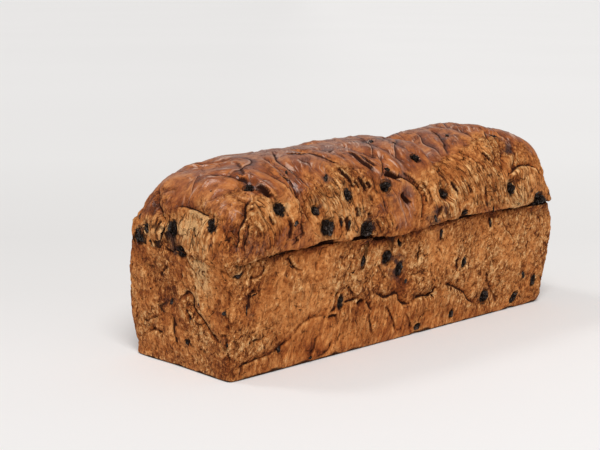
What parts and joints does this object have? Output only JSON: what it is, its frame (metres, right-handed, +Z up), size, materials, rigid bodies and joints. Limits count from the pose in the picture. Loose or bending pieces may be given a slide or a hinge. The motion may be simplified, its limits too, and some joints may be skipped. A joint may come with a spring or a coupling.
{
  "type": "currant bread",
  "caption": "Long tin loaf of currant bread: square drafted walls, a folded brown crown that laps them as a ledge, and dark currants set in the crust.",
  "frame": {"origin": "on the flat bottom the loaf stands on, under the middle of the whole", "axes": "+X along the loaf towards its higher end, -Y out of the front wall, +Z up"},
  "size_m": [0.3018, 0.103, 0.1228],
  "materials": {
    "crust": "baked crust: glossy chestnut brown on the crown, golden brown and finely pitted on the walls",
    "currant": "black, finely wrinkled dried fruit with small soft glints"
  },
  "bodies": {
    "root": {"currant_01": "currant", "currant_02": "currant", "currant_03": "currant", "currant_04": "currant", "currant_05": "currant", "currant_06": "currant", "currant_07": "currant", "currant_08": "currant", "currant_09": "currant", "currant_10": "currant", "currant_11": "currant", "currant_12": "currant", "currant_13": "currant", "currant_14": "currant", "currant_15": "currant", "currant_16": "currant", "currant_17": "currant", "currant_18": "currant", "currant_19": "currant", "currant_20": "currant", "currant_21": "currant", "currant_22": "currant", "currant_23": "currant", "currant_24": "currant", "currant_25": "currant", "currant_26": "currant", "currant_27": "currant", "currant_28": "currant", "currant_29": "currant", "currant_30": "currant", "currant_31": "currant", "currant_32": "currant", "currant_33": "currant", "currant_34": "currant", "currant_35": "currant", "currant_36": "currant", "currant_37": "currant", "currant_38": "currant", "currant_39": "currant", "currant_40": "currant", "currant_41": "currant", "loaf": "crust"}
  },
  "joints": []
}
